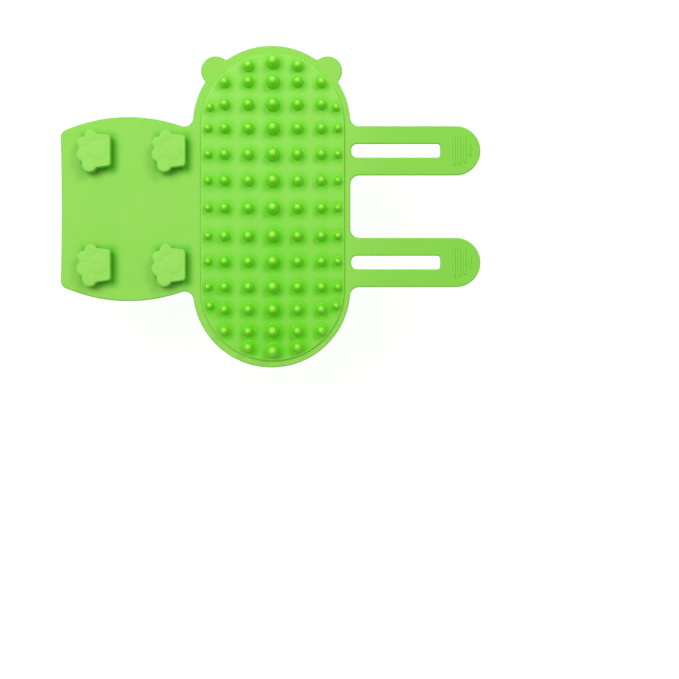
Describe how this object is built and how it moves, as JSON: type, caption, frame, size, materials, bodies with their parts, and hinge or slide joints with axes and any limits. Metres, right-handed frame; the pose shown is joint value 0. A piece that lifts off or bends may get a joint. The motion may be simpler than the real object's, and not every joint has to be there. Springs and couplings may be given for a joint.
{
  "type": "grooming glove",
  "caption": "Moulded silicone grooming glove laid flat: a stadium-shaped pad of bristling nubs, a wrap flap with paw-shaped buttons, and slotted straps that hook over them.",
  "frame": {"origin": "centre of the pad's flat back face, on the surface the glove lies on", "axes": "+X from the flap towards the straps, +Y along the pad towards its ears, +Z out of the brush face, the way the nubs point"},
  "size_m": [0.2401, 0.184, 0.0115],
  "materials": {
    "silicone_sheet": "satin moulded silicone, lime green",
    "silicone_brush": "satin moulded silicone, lime green, glossier on the nub tips",
    "silicone_buttons": "satin moulded silicone, lime green"
  },
  "bodies": {
    "palm_centre": {"palm_sheet_centre": "silicone_sheet", "brush_panel_centre": "silicone_brush", "nubs_centre": "silicone_brush", "nubs_inner_left": "silicone_brush", "nubs_inner_right": "silicone_brush"},
    "palm_left": {"palm_sheet_left": "silicone_sheet", "brush_panel_left": "silicone_brush", "nubs_middle_left": "silicone_brush", "nubs_outer_left": "silicone_brush", "ear_left": "silicone_sheet"},
    "palm_right": {"palm_sheet_right": "silicone_sheet", "brush_panel_right": "silicone_brush", "nubs_middle_right": "silicone_brush", "nubs_outer_right": "silicone_brush", "ear_right": "silicone_sheet"},
    "flap_inner": {"flap_sheet_inner": "silicone_sheet", "button_stem_upper_inner": "silicone_buttons", "paw_head_upper_inner": "silicone_buttons", "paw_cushions_upper_inner": "silicone_buttons", "button_stem_lower_inner": "silicone_buttons", "paw_head_lower_inner": "silicone_buttons", "paw_cushions_lower_inner": "silicone_buttons"},
    "flap_outer": {"flap_sheet_outer": "silicone_sheet", "button_stem_upper_outer": "silicone_buttons", "paw_head_upper_outer": "silicone_buttons", "paw_cushions_upper_outer": "silicone_buttons", "button_stem_lower_outer": "silicone_buttons", "paw_head_lower_outer": "silicone_buttons", "paw_cushions_lower_outer": "silicone_buttons"},
    "strap_upper_inner": {"strap_rails_upper_inner": "silicone_sheet"},
    "strap_upper_outer": {"strap_rails_upper_outer": "silicone_sheet", "strap_tab_upper": "silicone_sheet", "grip_ribs_upper": "silicone_sheet"},
    "strap_lower_inner": {"strap_rails_lower_inner": "silicone_sheet"},
    "strap_lower_outer": {"strap_rails_lower_outer": "silicone_sheet", "strap_tab_lower": "silicone_sheet", "grip_ribs_lower": "silicone_sheet"}
  },
  "joints": [
    {"name": "palm_curl_left", "type": "hinge", "parent": "palm_centre", "child": "palm_left", "pos_m": [-0.01992, 0, 0], "axis": [0, -1, 0], "range_deg": [0, 60], "stiffness_Nm_per_rad": 0.04},
    {"name": "palm_curl_right", "type": "hinge", "parent": "palm_centre", "child": "palm_right", "pos_m": [0.02183, 0, 0], "axis": [0, 1, 0], "range_deg": [0, 60], "stiffness_Nm_per_rad": 0.04},
    {"name": "flap_fold", "type": "hinge", "parent": "palm_left", "child": "flap_inner", "pos_m": [-0.049, 0, 0], "axis": [0, -1, 0], "range_deg": [0, 66], "stiffness_Nm_per_rad": 0.005},
    {"name": "flap_curl", "type": "hinge", "parent": "flap_inner", "child": "flap_outer", "pos_m": [-0.067, 0, 0], "axis": [0, -1, 0], "range_deg": [0, 54], "stiffness_Nm_per_rad": 0.005},
    {"name": "strap_upper_fold", "type": "hinge", "parent": "palm_right", "child": "strap_upper_inner", "pos_m": [0.049, 0.032, 0], "axis": [0, 1, 0], "range_deg": [0, 45], "stiffness_Nm_per_rad": 0.001},
    {"name": "strap_upper_curl", "type": "hinge", "parent": "strap_upper_inner", "child": "strap_upper_outer", "pos_m": [0.0764, 0.032, 0], "axis": [0, 1, 0], "range_deg": [0, 75], "stiffness_Nm_per_rad": 0.001},
    {"name": "strap_lower_fold", "type": "hinge", "parent": "palm_right", "child": "strap_lower_inner", "pos_m": [0.049, -0.032, 0], "axis": [0, 1, 0], "range_deg": [0, 45], "stiffness_Nm_per_rad": 0.001},
    {"name": "strap_lower_curl", "type": "hinge", "parent": "strap_lower_inner", "child": "strap_lower_outer", "pos_m": [0.0764, -0.032, 0], "axis": [0, 1, 0], "range_deg": [0, 75], "stiffness_Nm_per_rad": 0.001}
  ],
  "couplings": [
    {"joint": "palm_curl_right", "follows": "palm_curl_left", "ratio": 1},
    {"joint": "flap_curl", "follows": "flap_fold", "ratio": 0.818},
    {"joint": "strap_upper_curl", "follows": "strap_upper_fold", "ratio": 1.6666},
    {"joint": "strap_lower_curl", "follows": "strap_lower_fold", "ratio": 1.6666}
  ]
}
